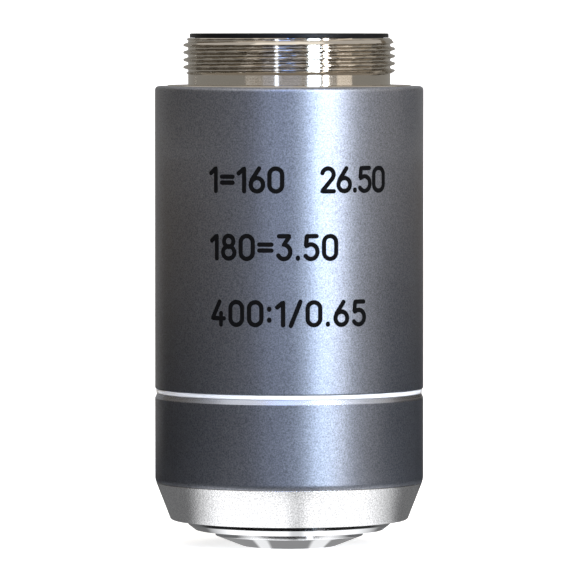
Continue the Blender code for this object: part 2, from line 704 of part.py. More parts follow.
def clamp_ring(bottom, slide):
    """Slotted ring that screws down on the stack of cells. Returns its top."""
    inner = CELL_RADIUS - CLAMP_WALL
    top = bottom + CLAMP_HEIGHT
    outline = [(inner, bottom), (CELL_RADIUS, bottom), (CELL_RADIUS, top), (inner, top)]
    ring = turned("lens_clamp_ring", outline, BLACK_ANODISED, slide, INNER_SEGMENTS)
    half = CLAMP_SLOT_WIDTH / 2
    low = (-BARREL_RADIUS, -half, top - CLAMP_SLOT_DEPTH)
    cut(ring, box_cutter("clamp_slot_cutter", low, (BARREL_RADIUS, half, top + CLAMP_SLOT_DEPTH)))
    return top


def front_cap(top, slide):
    """Conical cell of the front lens. Its flange is clamped by the holder, its spigot enters the barrel."""
    opening = OPENING_RADIUS
    seat_radius = opening + RIM_WIDTH
    bore = FRONT_LENS_RADIUS + FIT
    cone_top = LENS_RECESS + FRONT_LENS_CONE
    flange = HOLDER_BORE - FIT
    turned("front_cap", [
        (opening, 0.0),
        (seat_radius, 0.0),
        (CAP_RADIUS, CAP_CONE_HEIGHT),
        (CAP_RADIUS, CAP_FLANGE_BOTTOM),
        (flange, CAP_FLANGE_BOTTOM),
        (flange, CAP_FLANGE_TOP),
        (CELL_RADIUS, CAP_FLANGE_TOP),
        (CELL_RADIUS, top),
        (bore, top),
        (bore, cone_top),
        (seat_radius + FIT, LENS_RECESS),
        (opening, LENS_RECESS),
    ], POLISHED_STEEL, slide)


def front_lens(slide):
    """Thick front element: flat towards the specimen, a tapered rim, a steep back. Returns its back vertex."""
    seat = LENS_RECESS + SEAM
    shoulder = seat + FRONT_LENS_CONE
    back = surface(-FRONT_LENS_BACK_RADIUS, FRONT_LENS_RADIUS, shoulder + FRONT_LENS_EDGE, 3)
    front = [(0.0, seat), (OPENING_RADIUS + RIM_WIDTH, seat), (FRONT_LENS_RADIUS, shoulder)]
    turned("front_lens", front + back[::-1], CROWN_GLASS, slide, INNER_SEGMENTS)
    return back[0][1]


def lens_train(slide):
    """Everything stacked in the barrel, from the front cap back to the clamp ring. Returns the top."""
    vertex = front_lens(slide)
    places = []
    for group in GROUPS:
        places.append(placed(group, vertex))
        vertex = places[-1].back_vertex
    front_cap(places[0].bottom - SEAM, slide)
    for place, behind in zip(places, places[1:] + [None]):
        lens(place, slide)
        if behind is None or behind.group.number >= STOP_IN_FRONT_OF:
            lens_cell(place, place.back_rim + CELL_RIM, slide)
        else:
            lens_cell(place, behind.bottom - SEAM, slide)
    before_stop, after_stop, last = places[-3:]
    stop_bottom = aperture_stop(after_stop.bottom - SEAM, slide)
    spacer("front_spacer", before_stop.back_rim + CELL_RIM + SEAM, stop_bottom - SEAM, slide)
    spacer("rear_spacer", after_stop.back_rim + CELL_RIM + SEAM, last.bottom - SEAM, slide)
    return clamp_ring(last.back_rim + CELL_RIM + SEAM, slide)


def main():
    clear_scene()
    slide = bpy.data.objects.new("barrel_slide", None)
    bpy.context.scene.collection.objects.link(slide)
    thread_mount()
    rear_lock_ring()
    rear_casing()
    colour_ring()
    front_casing()
    nose_ring()
    main_tube()
    guide_pin()
    retraction_spring()
    stack_top = lens_train(slide)
    inner_barrel(slide, stack_top + BARREL_RIM)
    barrel_stop_ring(slide)
    front_holder(slide)


main()
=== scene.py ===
import math

import bmesh
import bpy
import numpy as np
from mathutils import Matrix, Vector


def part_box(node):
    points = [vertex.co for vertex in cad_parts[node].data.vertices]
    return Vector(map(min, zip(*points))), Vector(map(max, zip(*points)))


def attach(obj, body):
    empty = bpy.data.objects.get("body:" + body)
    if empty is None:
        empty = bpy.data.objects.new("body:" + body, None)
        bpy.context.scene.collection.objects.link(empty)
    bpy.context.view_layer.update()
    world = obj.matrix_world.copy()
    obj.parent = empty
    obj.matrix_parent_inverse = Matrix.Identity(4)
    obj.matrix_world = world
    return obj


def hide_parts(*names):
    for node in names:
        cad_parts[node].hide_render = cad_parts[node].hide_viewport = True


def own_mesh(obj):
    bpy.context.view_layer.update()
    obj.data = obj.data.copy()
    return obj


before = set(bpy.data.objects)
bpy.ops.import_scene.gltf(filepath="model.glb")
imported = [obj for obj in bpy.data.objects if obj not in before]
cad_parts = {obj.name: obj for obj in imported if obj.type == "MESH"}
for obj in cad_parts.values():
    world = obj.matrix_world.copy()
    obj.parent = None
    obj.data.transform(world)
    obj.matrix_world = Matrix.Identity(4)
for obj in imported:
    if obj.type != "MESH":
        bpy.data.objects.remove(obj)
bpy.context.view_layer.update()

# The camera looks along +Y from a little above the thread, as the photograph does. The picture is
# 580 pixels wide and shows 0.0961 mm a pixel on the optical axis.

PIXEL = 0.0000961
PICTURE = 580
AXIS_COLUMN = 289.2
CAMERA_DISTANCE = 0.602
CAMERA_HEIGHT = 0.0504
AIM_HEIGHT = 0.0246

scene = bpy.context.scene
scene.view_settings.view_transform = "Standard"
camera_data = bpy.data.cameras.new("camera")
camera = bpy.data.objects.new("camera", camera_data)
sight = Vector((0.0, CAMERA_DISTANCE, AIM_HEIGHT - CAMERA_HEIGHT))
camera_data.sensor_width = 36.0
camera_data.lens = camera_data.sensor_width * sight.length / (PICTURE * PIXEL)
camera_data.clip_start = 0.01
camera.location = Vector(((PICTURE / 2 - AXIS_COLUMN) * PIXEL, -CAMERA_DISTANCE, CAMERA_HEIGHT))
camera.rotation_euler = sight.to_track_quat("-Z", "Y").to_euler()
scene.collection.objects.link(camera)
scene.camera = camera

# The studio: a pale floor, a white sweep behind it, and soft boxes in front. Round the objective's
# foot the dark and grey cards and the board glow, and only reflections see them. They are painted
# reflections, which give the metal its dark flanks and the nose its bright and dark zones.

FLOOR_HALF = 2.5
FLOOR_COLOUR = (0.88, 0.88, 0.88, 1.0)
FLOOR_GLOW = 0.72
FLOOR_NEAR = 0.30
FLOOR_FAR = 0.90
SURROUND_RADIUS = 1.6
SWEEP_DISTANCE = 0.90
SWEEP_HALF = 0.12
SWEEP_HEIGHT = 0.30
FLOOR_CARD = 1.2
FAR_CARD = 0.34
FAR_CARD_FOOT = 0.030
FAR_CARD_TOP = 0.060
NEAR_CARD = 0.06
NEAR_CARD_DARK = 0.008
NEAR_CARD_TOP = 0.036
NEAR_CARD_LEAST = 0.02
BACK_CARD = 0.10
BACK_CARD_TOP = 0.100
CARD_FOOT = 0.002
SIDE_SPANS = (("left", -132, -50), ("right", 75, 150))
BACK_SPAN = (140, 230)
ARC_POINTS = 61
BLACK_CARD = (0.005, 0.005, 0.005)
GREY_CARD = (0.32, 0.31, 0.29)
BOARD_HEIGHT = 0.00003
CAP_REFLECTION_RADIUS = 0.0078
CONE_REFLECTION_RADIUS = 0.0195
CONE_REFLECTION_FLARE = 0.012
STRIPE_RADIUS = 0.030
ROOM_COLOUR = (1.0, 0.84, 0.65, 1.0)
ROOM_LEVEL = 0.19
LAMP_AIM = 0.025


def new_material(name):
    """An empty node material. Returns the material, its nodes and a function that links two sockets."""
    material = bpy.data.materials.new(name)
    material.use_nodes = True
    tree = material.node_tree
    tree.nodes.clear()
    return material, tree.nodes, tree.links.new


def put_mesh(name, points, faces, material=None):
    """A mesh object at the origin, linked to the scene."""
    mesh = bpy.data.meshes.new(name)
    mesh.from_pydata(np.asarray(points).tolist(), [], np.asarray(faces).tolist())
    thing = bpy.data.objects.new(name, mesh)
    scene.collection.objects.link(thing)
    if material:
        mesh.materials.append(material)
    return thing


def white_where_seen(name, colour, glow):
    """A diffuse sheet that glows towards the camera and in what metal and glass show of it.

    The glow grows to 1 from FLOOR_NEAR to FLOOR_FAR off the axis. From behind, the camera looks through.
    """
    material, nodes, link = new_material(name)
    diffuse = nodes.new("ShaderNodeBsdfDiffuse")
    diffuse.inputs["Color"].default_value = colour
    emission = nodes.new("ShaderNodeEmission")
    rays = nodes.new("ShaderNodeLightPath")
    seen = nodes.new("ShaderNodeMath")
    seen.operation = "MAXIMUM"
    also_seen = nodes.new("ShaderNodeMath")
    also_seen.operation = "MAXIMUM"
    place = nodes.new("ShaderNodeTexCoord")
    distance = nodes.new("ShaderNodeVectorMath")
    distance.operation = "LENGTH"
    growth = nodes.new("ShaderNodeMapRange")
    growth.inputs["From Min"].default_value = FLOOR_NEAR
    growth.inputs["From Max"].default_value = FLOOR_FAR
    growth.inputs["To Min"].default_value = glow
    growth.inputs["To Max"].default_value = 1.0
    level = nodes.new("ShaderNodeMath")
    level.operation = "MULTIPLY"
    both = nodes.new("ShaderNodeAddShader")
    side = nodes.new("ShaderNodeNewGeometry")
    through = nodes.new("ShaderNodeMath")
    through.operation = "MULTIPLY"
    clear = nodes.new("ShaderNodeBsdfTransparent")
    choice = nodes.new("ShaderNodeMixShader")
    output = nodes.new("ShaderNodeOutputMaterial")
    link(rays.outputs["Is Camera Ray"], seen.inputs[0])
    link(rays.outputs["Is Glossy Ray"], seen.inputs[1])
    link(seen.outputs[0], also_seen.inputs[0])
    link(rays.outputs["Is Transmission Ray"], also_seen.inputs[1])
    link(place.outputs["Object"], distance.inputs[0])
    link(distance.outputs["Value"], growth.inputs["Value"])
    link(also_seen.outputs[0], level.inputs[0])
    link(growth.outputs["Result"], level.inputs[1])
    link(level.outputs[0], emission.inputs["Strength"])
    link(diffuse.outputs[0], both.inputs[0])
    link(emission.outputs[0], both.inputs[1])
    link(side.outputs["Backfacing"], through.inputs[0])
    link(rays.outputs["Is Camera Ray"], through.inputs[1])
    link(through.outputs[0], choice.inputs["Fac"])
    link(both.outputs[0], choice.inputs[1])
    link(clear.outputs[0], choice.inputs[2])
    link(choice.outputs[0], output.inputs["Surface"])
    return material


def glowing(name, colour, level=1.0):
    """Card that shows one colour whatever the lamps do. Returns material, nodes, link and the emission."""
    material, nodes, link = new_material(name)
    emission = nodes.new("ShaderNodeEmission")
    emission.inputs["Color"].default_value = (*colour, 1.0)
    emission.inputs["Strength"].default_value = level
    output = nodes.new("ShaderNodeOutputMaterial")
    link(emission.outputs[0], output.inputs["Surface"])
    return material, nodes, link, emission


def card_between(name, inner, outer, material):
    """A card between two rows of points. It blocks what reflections see, and nothing else."""
    count = len(inner)
    quads = [(i, i + 1, count + i + 1, count + i) for i in range(count - 1)]
    card = put_mesh(name, np.concatenate([inner, outer]), quads, material)
    card.visible_camera = False
    card.visible_diffuse = False
    card.visible_transmission = False
    card.visible_shadow = False


def round_the_axis(azimuth_from, azimuth_to, distance, height, flare=0.0):
    """Points on an arc round the objective. Azimuths are degrees from the camera's side, right positive.

    The distance grows towards the back by flare * (1 - cos azimuth).
    """
    angle = np.radians(np.linspace(azimuth_from, azimuth_to, ARC_POINTS))
    distance = distance + flare * (1 - np.cos(angle))
    heights = np.full(ARC_POINTS, height)
    return np.stack([distance * np.sin(angle), -distance * np.cos(angle), heights], axis=1)


def soft_box(name, azimuth, elevation, distance, width, height, power, colour=(1.0, 1.0, 1.0)):
    """A rectangular lamp that faces the objective's middle."""
    lamp = bpy.data.lights.new(name, "AREA")
    lamp.shape = "RECTANGLE"
    lamp.size = width
    lamp.size_y = height
    lamp.energy = power
    lamp.color = colour
    box = bpy.data.objects.new(name, lamp)
    turn, lift = math.radians(azimuth), math.radians(elevation)
    away = Vector((math.sin(turn) * math.cos(lift), -math.cos(turn) * math.cos(lift), math.sin(lift)))
    box.location = Vector((0.0, 0.0, LAMP_AIM)) + away * distance
    box.rotation_euler = away.to_track_quat("Z", "Y").to_euler()
    scene.collection.objects.link(box)


floor = put_mesh("floor", [(-FLOOR_HALF, -FLOOR_HALF, 0), (FLOOR_HALF, -FLOOR_HALF, 0),
                           (FLOOR_HALF, FLOOR_HALF, 0), (-FLOOR_HALF, FLOOR_HALF, 0)], [(0, 1, 2, 3)],
                 white_where_seen("pale_floor", FLOOR_COLOUR, FLOOR_GLOW))
white_sheet = white_where_seen("white_sweep", FLOOR_COLOUR, 1.0)
sweep = put_mesh("sweep", [(-SWEEP_HALF, SWEEP_DISTANCE, 0), (SWEEP_HALF, SWEEP_DISTANCE, 0),
                           (SWEEP_HALF, SWEEP_DISTANCE, SWEEP_HEIGHT),
                           (-SWEEP_HALF, SWEEP_DISTANCE, SWEEP_HEIGHT)], [(0, 1, 2, 3)], white_sheet)

# A white dome closes the view from the sides and from below: x = R cos(lift) sin(turn),
# y = R cos(lift) cos(turn), z = R sin(lift). It faces inwards.
turn = np.radians(np.arange(0, 360, 10))[None, :]
lift = np.radians(np.linspace(0, 89.9, 10))[:, None]
dome_points = SURROUND_RADIUS * np.stack([np.cos(lift) * np.sin(turn), np.cos(lift) * np.cos(turn),
                                          np.sin(lift) + 0 * turn], axis=-1)
index = np.arange(lift.size * turn.size).reshape(lift.size, turn.size)
right = np.roll(index, -1, axis=1)
surround = put_mesh("surround", dome_points.reshape(-1, 3), np.stack(
    [index[:-1], right[:-1], right[1:], index[1:]], axis=-1).reshape(-1, 4), white_sheet)
surround.visible_glossy = False
surround.visible_diffuse = False
surround.visible_shadow = False

black_card = glowing("black_card", BLACK_CARD)[0]
grey_card = glowing("grey_card", GREY_CARD)[0]
# The near cards glow with the room's colour, dark at their foot and brighter up to their top, and only
# reflections see them: a painted reflection of the room, with a painted soft dark edge on the flanks.
near_card, nodes, link, card_glow = glowing("near_card", BLACK_CARD)
place = nodes.new("ShaderNodeTexCoord")
parts = nodes.new("ShaderNodeSeparateXYZ")
fade = nodes.new("ShaderNodeMapRange")
fade.interpolation_type = "SMOOTHSTEP"
fade.inputs["From Min"].default_value = NEAR_CARD_DARK
fade.inputs["From Max"].default_value = NEAR_CARD_TOP
fade.inputs["To Min"].default_value = NEAR_CARD_LEAST
fade.inputs["To Max"].default_value = 1.0
link(place.outputs["Object"], parts.inputs[0])
link(parts.outputs["Z"], fade.inputs["Value"])
card_glow.inputs["Color"].default_value = [ROOM_LEVEL * part for part in ROOM_COLOUR[:3]] + [1.0]
link(fade.outputs["Result"], card_glow.inputs["Strength"])
for side, start, end in SIDE_SPANS:
    card_between(f"near_card_{side}", round_the_axis(start, end, NEAR_CARD, CARD_FOOT),
                 round_the_axis(start, end, NEAR_CARD, NEAR_CARD_TOP), near_card)
    card_between(f"far_card_{side}", round_the_axis(start, end, FAR_CARD, FAR_CARD_FOOT),
                 round_the_axis(start, end, FAR_CARD, FAR_CARD_TOP), grey_card)
card_between("back_card", round_the_axis(*BACK_SPAN, BACK_CARD, CARD_FOOT),
             round_the_axis(*BACK_SPAN, BACK_CARD, BACK_CARD_TOP), grey_card)


def painted_reflection(name, greys, level):
    """Painted reflection: glowing paint whose grey follows the azimuth, from (degrees, grey) pairs."""
    material, nodes, link, glow = glowing(name, (1.0, 1.0, 1.0), level)
    place = nodes.new("ShaderNodeTexCoord")
    parts = nodes.new("ShaderNodeSeparateXYZ")
    front = nodes.new("ShaderNodeMath")
    front.operation = "MULTIPLY"
    front.inputs[1].default_value = -1.0
    azimuth = nodes.new("ShaderNodeMath")
    azimuth.operation = "ARCTAN2"
    share = nodes.new("ShaderNodeMapRange")
    share.inputs["From Min"].default_value = -math.pi
    share.inputs["From Max"].default_value = math.pi
    shades = nodes.new("ShaderNodeValToRGB")
    stops = shades.color_ramp.elements
    stops.remove(stops[1])
    for number, (degrees, grey) in enumerate(greys):
        position = (degrees + 180) / 360
        stop = stops[0] if number == 0 else stops.new(position)
        stop.position = position
        stop.color = (grey, grey, grey, 1.0)
    link(place.outputs["Object"], parts.inputs[0])
    link(parts.outputs["Y"], front.inputs[0])
    link(parts.outputs["X"], azimuth.inputs[0])
    link(front.outputs[0], azimuth.inputs[1])
    link(azimuth.outputs[0], share.inputs["Value"])
    link(share.outputs["Result"], shades.inputs["Fac"])
    link(shades.outputs["Color"], glow.inputs["Color"])
    return material


# The board is a painted reflection: it glows, only reflections see it, and it is painted in plain zones.
# Its ring, which the chamfer and the nose cone show, is white in front and falls evenly to dark at the
# sides, with one grey strip. The inner disc, which the cap's cone shows, is grey with two white strips.
# Beyond them the floor, as reflections see it, is black, with a white stripe. The white zones and strips
# are painted highlights on the nose and the cap, and the dark zones are painted dark reflections.
BOARD_DARK = 0.12
BOARD_GREY = 0.30
BOARD_WHITE = 1.0
STRIP_GREY = 0.60
BOARD_BLACK = 0.005
BOARD_LEVEL = 1.4
BOARD_PINHOLE = 0.01
cone_reflection = painted_reflection("cone_reflection", (
    (-180, BOARD_DARK), (-75, BOARD_DARK), (-45, BOARD_WHITE), (-2, BOARD_WHITE), (2, STRIP_GREY),
    (8, STRIP_GREY), (12, BOARD_WHITE), (50, BOARD_WHITE), (90, BOARD_DARK), (180, BOARD_DARK)), BOARD_LEVEL)
cap_reflection = painted_reflection("cap_reflection", (
    (-180, BOARD_GREY), (-40, BOARD_GREY), (-36, BOARD_WHITE), (-24, BOARD_WHITE), (-20, BOARD_GREY),
    (22, BOARD_GREY), (26, BOARD_WHITE), (44, BOARD_WHITE), (48, BOARD_GREY), (180, BOARD_GREY)), 1.0)
stripe_reflection = painted_reflection("stripe_reflection", (
    (-180, BOARD_BLACK), (22, BOARD_BLACK), (24, BOARD_WHITE), (31, BOARD_WHITE), (33, BOARD_BLACK),
    (180, BOARD_BLACK)), BOARD_LEVEL)
# The boards and the floor card glow and only reflections see them: painted reflections.
cap_edge = round_the_axis(-180, 180, CAP_REFLECTION_RADIUS, BOARD_HEIGHT)
cone_edge = round_the_axis(-180, 180, CONE_REFLECTION_RADIUS, BOARD_HEIGHT, CONE_REFLECTION_FLARE)
stripe_edge = round_the_axis(-180, 180, STRIPE_RADIUS, BOARD_HEIGHT, CONE_REFLECTION_FLARE)
card_between("cap_board", cap_edge * [BOARD_PINHOLE, BOARD_PINHOLE, 1], cap_edge, cap_reflection)
card_between("cone_board", cap_edge, cone_edge, cone_reflection)
card_between("stripe_board", cone_edge, stripe_edge, stripe_reflection)
card_between("floor_card", stripe_edge, round_the_axis(-180, 180, FLOOR_CARD, BOARD_HEIGHT), black_card)

# Each lamp: azimuth and elevation in degrees, distance, width and height in metres, watts, and colour
soft_box("key_strip", 28, 6, 0.45, 0.10, 0.46, 2.60, (0.655, 0.80, 1.0))
soft_box("thin_strip", 42, 6, 0.45, 0.036, 0.46, 1.00, (0.95, 0.95, 1.0))
soft_box("left_strip", -14, 6, 0.45, 0.024, 0.46, 0.18, (0.70, 0.80, 1.0))
soft_box("front_fill", -8, 8, 0.50, 0.40, 0.46, 0.10, (0.50, 0.64, 1.0))
soft_box("sky_fill", -4, 28, 0.50, 0.16, 0.16, 0.36, (0.12, 0.34, 1.0))
soft_box("right_fill", 82, 8, 0.50, 0.50, 0.46, 0.42, (1.0, 0.90, 0.78))
soft_box("canopy", 0, 48, 0.50, 1.30, 0.40, 1.2, (1.0, 0.94, 0.86))
soft_box("top_light", 0, 86, 0.50, 1.80, 1.80, 4.6)

world = bpy.data.worlds.new("studio_air")
world.use_nodes = True
world.node_tree.nodes["Background"].inputs["Color"].default_value = ROOM_COLOUR
world.node_tree.nodes["Background"].inputs["Strength"].default_value = ROOM_LEVEL
scene.world = world

# The thread mount is turned from brass in one piece and nickel plated: the flange that closes the
# casing, the neck, and the RMS thread with its run-out and lead-in. A relief runs round the neck.

THREAD_RADIUS = 0.01016
THREAD_PITCH = 0.0254 / 36
THREAD_DEPTH = 0.640327 * THREAD_PITCH
THREAD_CREST_SHARE = 0.20
THREAD_LENGTH = 0.00350
THREAD_RUNOUT = 0.00035
THREAD_CHAMFER_WIDTH = 0.00039
THREAD_CHAMFER_HEIGHT = 0.00064
NECK_LENGTH = 0.00100
RELIEF = 0.00020
MOUNT_BORE = 0.008898
MOUNT_ROOF = 0.00110
MOUNT_SPIGOT_RADIUS = 0.01002
MOUNT_SPIGOT_WALL = 0.00090
FLANGE_THICKNESS = 0.00210
MERGE_DISTANCE = 2e-8


def eased(corners, steps=4):
    """A closed section with its corners rounded.

    Each corner is (radius, height, ease). The arc of radius ease touches both sides, at
    ease / tan(half the angle between them) from the corner, and is sampled evenly. A point a little
    way along each side keeps the shading of the wall beyond it flat.
    """
    rounded = []
    count = len(corners)
    for index, (r, z, ease) in enumerate(corners):
        here = np.array([r, z])
        if not ease:
            rounded.append(here)
            continue
        before = np.array(corners[index - 1][:2]) - here
        after = np.array(corners[(index + 1) % count][:2]) - here
        before, after = before / np.linalg.norm(before), after / np.linalg.norm(after)
        half = math.acos(np.clip(before @ after, -1, 1)) / 2
        bisector = (before + after) / np.linalg.norm(before + after)
        centre = here + bisector * ease / math.sin(half)
        start = here + before * ease / math.tan(half) - centre
        end = here + after * ease / math.tan(half) - centre
        rounded.append(centre + start + before * ease / 2)
        for share in np.linspace(0, 1, steps + 1):
            arm = start * (1 - share) + end * share
            rounded.append(centre + arm / np.linalg.norm(arm) * ease)
        rounded.append(centre + end + after * ease / 2)
    return np.array(rounded)


def put_surface(name, points, closed_rows=True, sharp=30.0):
    """A piece from a grid of points, rows by columns by 3, closed round its columns.

    The last row joins the first where closed_rows is true. Points that fall together are merged, so a
    row at the axis becomes one pole. Edges sharper than the angle stay crisp.
    """
    rows, columns = points.shape[:2]
    index = np.arange(rows * columns).reshape(rows, columns)
    right = np.roll(index, -1, axis=1)
    quads = np.stack([index, right, np.roll(right, -1, axis=0), np.roll(index, -1, axis=0)], axis=-1)
    if not closed_rows:
        quads = quads[:-1]
    piece = put_mesh(name, points.reshape(-1, 3), quads.reshape(-1, 4))
    shape = bmesh.new()
    shape.from_mesh(piece.data)
    bmesh.ops.remove_doubles(shape, verts=shape.verts, dist=MERGE_DISTANCE)
    shape.to_mesh(piece.data)
    shape.free()
    piece.data.shade_smooth()
    piece.data.set_sharp_from_angle(angle=math.radians(sharp))
    return piece


def turned(name, section, columns=288, sharp=30.0):
    """A turned piece: every point (r, z) of the section becomes the circle (r cos a, r sin a, z)."""
    angle = np.linspace(0, 2 * np.pi, columns, endpoint=False)
    radius = section[:, :1]
    height = np.broadcast_to(section[:, 1:], (len(section), columns))
    grid = np.stack([radius * np.cos(angle), radius * np.sin(angle), height], axis=-1)
    return put_surface(name, grid, sharp=sharp)


def stands_for(piece, node, material, body="body"):
    """The piece takes the place of a CAD node and rides on its body."""
    piece.data.materials.append(material)
    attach(piece, body)
    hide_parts(node)


def surface_shader(name, colour, roughness, metallic=1.0):
    """A Principled material. Returns the material, its nodes, link and the shader."""
    material, nodes, link = new_material(name)
    shader = nodes.new("ShaderNodeBsdfPrincipled")
    shader.inputs["Base Color"].default_value = (*colour, 1.0)
    shader.inputs["Roughness"].default_value = roughness
    shader.inputs["Metallic"].default_value = metallic
    output = nodes.new("ShaderNodeOutputMaterial")
    link(shader.outputs[0], output.inputs["Surface"])
    return material, nodes, link, shader


def add_turning_lines(nodes, link, shader, spacing, depth, strength=0.3, roughness=None):
    """Fine concentric tool marks: noise over distance from the axis and height, as relief and sheen."""
    place = nodes.new("ShaderNodeTexCoord")
    parts = nodes.new("ShaderNodeSeparateXYZ")
    across = nodes.new("ShaderNodeCombineXYZ")
    distance = nodes.new("ShaderNodeVectorMath")
    distance.operation = "LENGTH"
    ring = nodes.new("ShaderNodeCombineXYZ")
    lines = nodes.new("ShaderNodeTexNoise")
    lines.inputs["Scale"].default_value = 1 / spacing
    lines.inputs["Detail"].default_value = 4.0
    relief = nodes.new("ShaderNodeBump")
    relief.inputs["Strength"].default_value = strength
    relief.inputs["Distance"].default_value = depth
    link(place.outputs["Object"], parts.inputs[0])
    link(parts.outputs["X"], across.inputs["X"])
    link(parts.outputs["Y"], across.inputs["Y"])
    link(across.outputs[0], distance.inputs[0])
    link(distance.outputs["Value"], ring.inputs["X"])
    link(parts.outputs["Z"], ring.inputs["Y"])
    link(ring.outputs[0], lines.inputs["Vector"])
    link(lines.outputs["Fac"], relief.inputs["Height"])
    link(relief.outputs["Normal"], shader.inputs["Normal"])
    if roughness:
        sheen = nodes.new("ShaderNodeMapRange")
        sheen.inputs["From Min"].default_value = 0.3
        sheen.inputs["From Max"].default_value = 0.7
        sheen.inputs["To Min"].default_value = roughness[0]
        sheen.inputs["To Max"].default_value = roughness[1]
        link(lines.outputs["Fac"], sheen.inputs["Value"])
        link(sheen.outputs["Result"], shader.inputs["Roughness"])


def thread_form(turns):
    """Share of the thread's depth, 0 at a crest and 1 at a root, at a distance along it in turns.

    The flank rises as t * t * (3 - 2 t), so crest and root are rounded as on a Whitworth thread.
    """
    place = np.abs(turns % 1.0 - 0.5) * 2
    flank = np.clip((place - THREAD_CREST_SHARE) / (1 - 2 * THREAD_CREST_SHARE), 0, 1)
    return flank * flank * (3 - 2 * flank)


def mount_surface(columns=288, rows_a_turn=26):
    """Grid of the mount: its turned section, then the thread as a height field r(angle, height).

    At a height the form is read at height / pitch - angle / full turn, which is a right-hand helix. The
    run-out and the lead-in are cones that cut it down.
    """
    low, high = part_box("thread_mount")
    flange = high[0]
    thread_bottom = high[2] - THREAD_LENGTH
    shoulder = thread_bottom - NECK_LENGTH
    root = THREAD_RADIUS - THREAD_DEPTH
    flange_bottom = shoulder - FLANGE_THICKNESS
    spigot_bore = MOUNT_SPIGOT_RADIUS - MOUNT_SPIGOT_WALL
    body = eased([
        (MOUNT_BORE, high[2], 0.00004),
        (MOUNT_BORE, shoulder - MOUNT_ROOF, 0),
        (spigot_bore, shoulder - MOUNT_ROOF, 0),
        (spigot_bore, low[2], 0),
        (MOUNT_SPIGOT_RADIUS, low[2], 0),
        (MOUNT_SPIGOT_RADIUS, flange_bottom, 0),
        (flange, flange_bottom, 0),
        (flange, shoulder, 0.00016),
        (THREAD_RADIUS + RELIEF, shoulder, 0.00004),
        (THREAD_RADIUS + RELIEF, shoulder - RELIEF, 0.00004),
        (root, shoulder - RELIEF, 0.00006),
        (root, thread_bottom - 0.00004, 0),
        (root, high[2], 0),
    ])[:-1]
    angle = np.linspace(0, 2 * np.pi, columns, endpoint=False)[None, :]
    height = np.linspace(0, THREAD_LENGTH, round(THREAD_LENGTH / THREAD_PITCH * rows_a_turn))[:, None]
    form = THREAD_RADIUS - THREAD_DEPTH * thread_form(height / THREAD_PITCH - angle / (2 * np.pi))
    run_out = root + THREAD_DEPTH * height / THREAD_RUNOUT
    lead_in = THREAD_RADIUS - THREAD_CHAMFER_WIDTH * (1 - (THREAD_LENGTH - height) / THREAD_CHAMFER_HEIGHT)
    radius = np.concatenate([np.broadcast_to(body[:, :1], (len(body), columns)),
                             np.minimum(np.minimum(form, run_out), lead_in)])
    heights = np.concatenate([body[:, 1:], thread_bottom + height])
    heights = np.broadcast_to(heights, radius.shape)
    return np.stack([radius * np.cos(angle), radius * np.sin(angle), heights], axis=-1)


nickel, nodes, link, shader = surface_shader("nickel_plate", (0.61, 0.575, 0.52), 0.08)
add_turning_lines(nodes, link, shader, 0.00005, 0.000002, 0.2, (0.06, 0.11))
stands_for(put_surface("thread_and_flange", mount_surface(), sharp=38), "thread_mount", nickel)

# The rear lock ring is screwed into the back of the mount. It is anodised black, with two blind slots
# across its face for a pin spanner.

LOCK_BORE = 0.007398
LOCK_CHAMFER = 0.00012
LOCK_SLOT_WIDTH = 0.00120
LOCK_SLOT_DEPTH = 0.00070
LOCK_SLOT_RIM = 0.00050
LOCK_FLANGE = 0.00042
FIT = 0.00003


def lock_ring_surface(slot_columns=5, plain_columns=120):
    """Grid of the ring. Slot columns run along lines of constant y, at angle asin(y / r).

    Between the slots the columns fan out evenly. The rows inside the slots' end wall lie deeper there.
    """
    low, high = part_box("rear_lock_ring")
    top, radius = high[2], high[0]
    seat = top - LOCK_FLANGE
    reach = radius - LOCK_SLOT_RIM
    spigot = MOUNT_BORE - FIT
    section = np.array([
        (LOCK_BORE, low[2], 0),
        (spigot, low[2], 0),
        (spigot, seat, 0),
        (radius, seat, 0),
        (radius, top - LOCK_CHAMFER, 0),
        (radius - 0.3 * LOCK_CHAMFER, top - 0.3 * LOCK_CHAMFER, 0),
        (radius - LOCK_CHAMFER, top, 0),
        (reach, top, 0),
        (reach, top, 1),
        (LOCK_BORE + LOCK_CHAMFER, top, 1),
        (LOCK_BORE, top - LOCK_CHAMFER, 1),
    ])
    across = np.concatenate([[-1.0], np.linspace(-1, 1, slot_columns), [1.0]]) * LOCK_SLOT_WIDTH / 2
    cut = np.concatenate([[0.0], np.ones(slot_columns), [0.0]])
    slot_angle = np.arcsin(across[None, :] / section[:, :1])
    edge = slot_angle[:, -1:]
    share = np.linspace(0, 1, plain_columns + 2)[None, 1:-1]
    plain_angle = edge + share * (np.pi - 2 * edge)
    angle = np.concatenate([slot_angle, plain_angle, slot_angle + np.pi, plain_angle + np.pi], axis=1)
    plain = np.zeros(plain_columns)
    deep = np.concatenate([cut, plain, cut, plain])[None, :] * section[:, 2:]
    height = np.where(deep > 0, top - LOCK_SLOT_DEPTH, section[:, 1:2])
    return np.stack([section[:, :1] * np.cos(angle), section[:, :1] * np.sin(angle), height], axis=-1)


black, nodes, link, shader = surface_shader("black_anodised", (0.0045, 0.0045, 0.005), 0.45, 0.0)
shader.inputs["Specular IOR Level"].default_value = 0.12
add_turning_lines(nodes, link, shader, 0.00006, 0.000003, 0.30, (0.32, 0.46))
stands_for(put_surface("slotted_ring", lock_ring_surface()), "rear_lock_ring", black)

# The rear casing is the long engraved sleeve: turned aluminium, bead blasted and dyed dark grey, with
# an eased top edge. It is clamped between the mount's flange and the colour ring.

CASING_WALL = 0.00115
CASING_TOP_EASE = 0.00035
PAINT_PROUD = 0.000012
low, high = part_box("rear_casing")
casing_radius = high[0] - PAINT_PROUD
casing_bore = high[0] - CASING_WALL


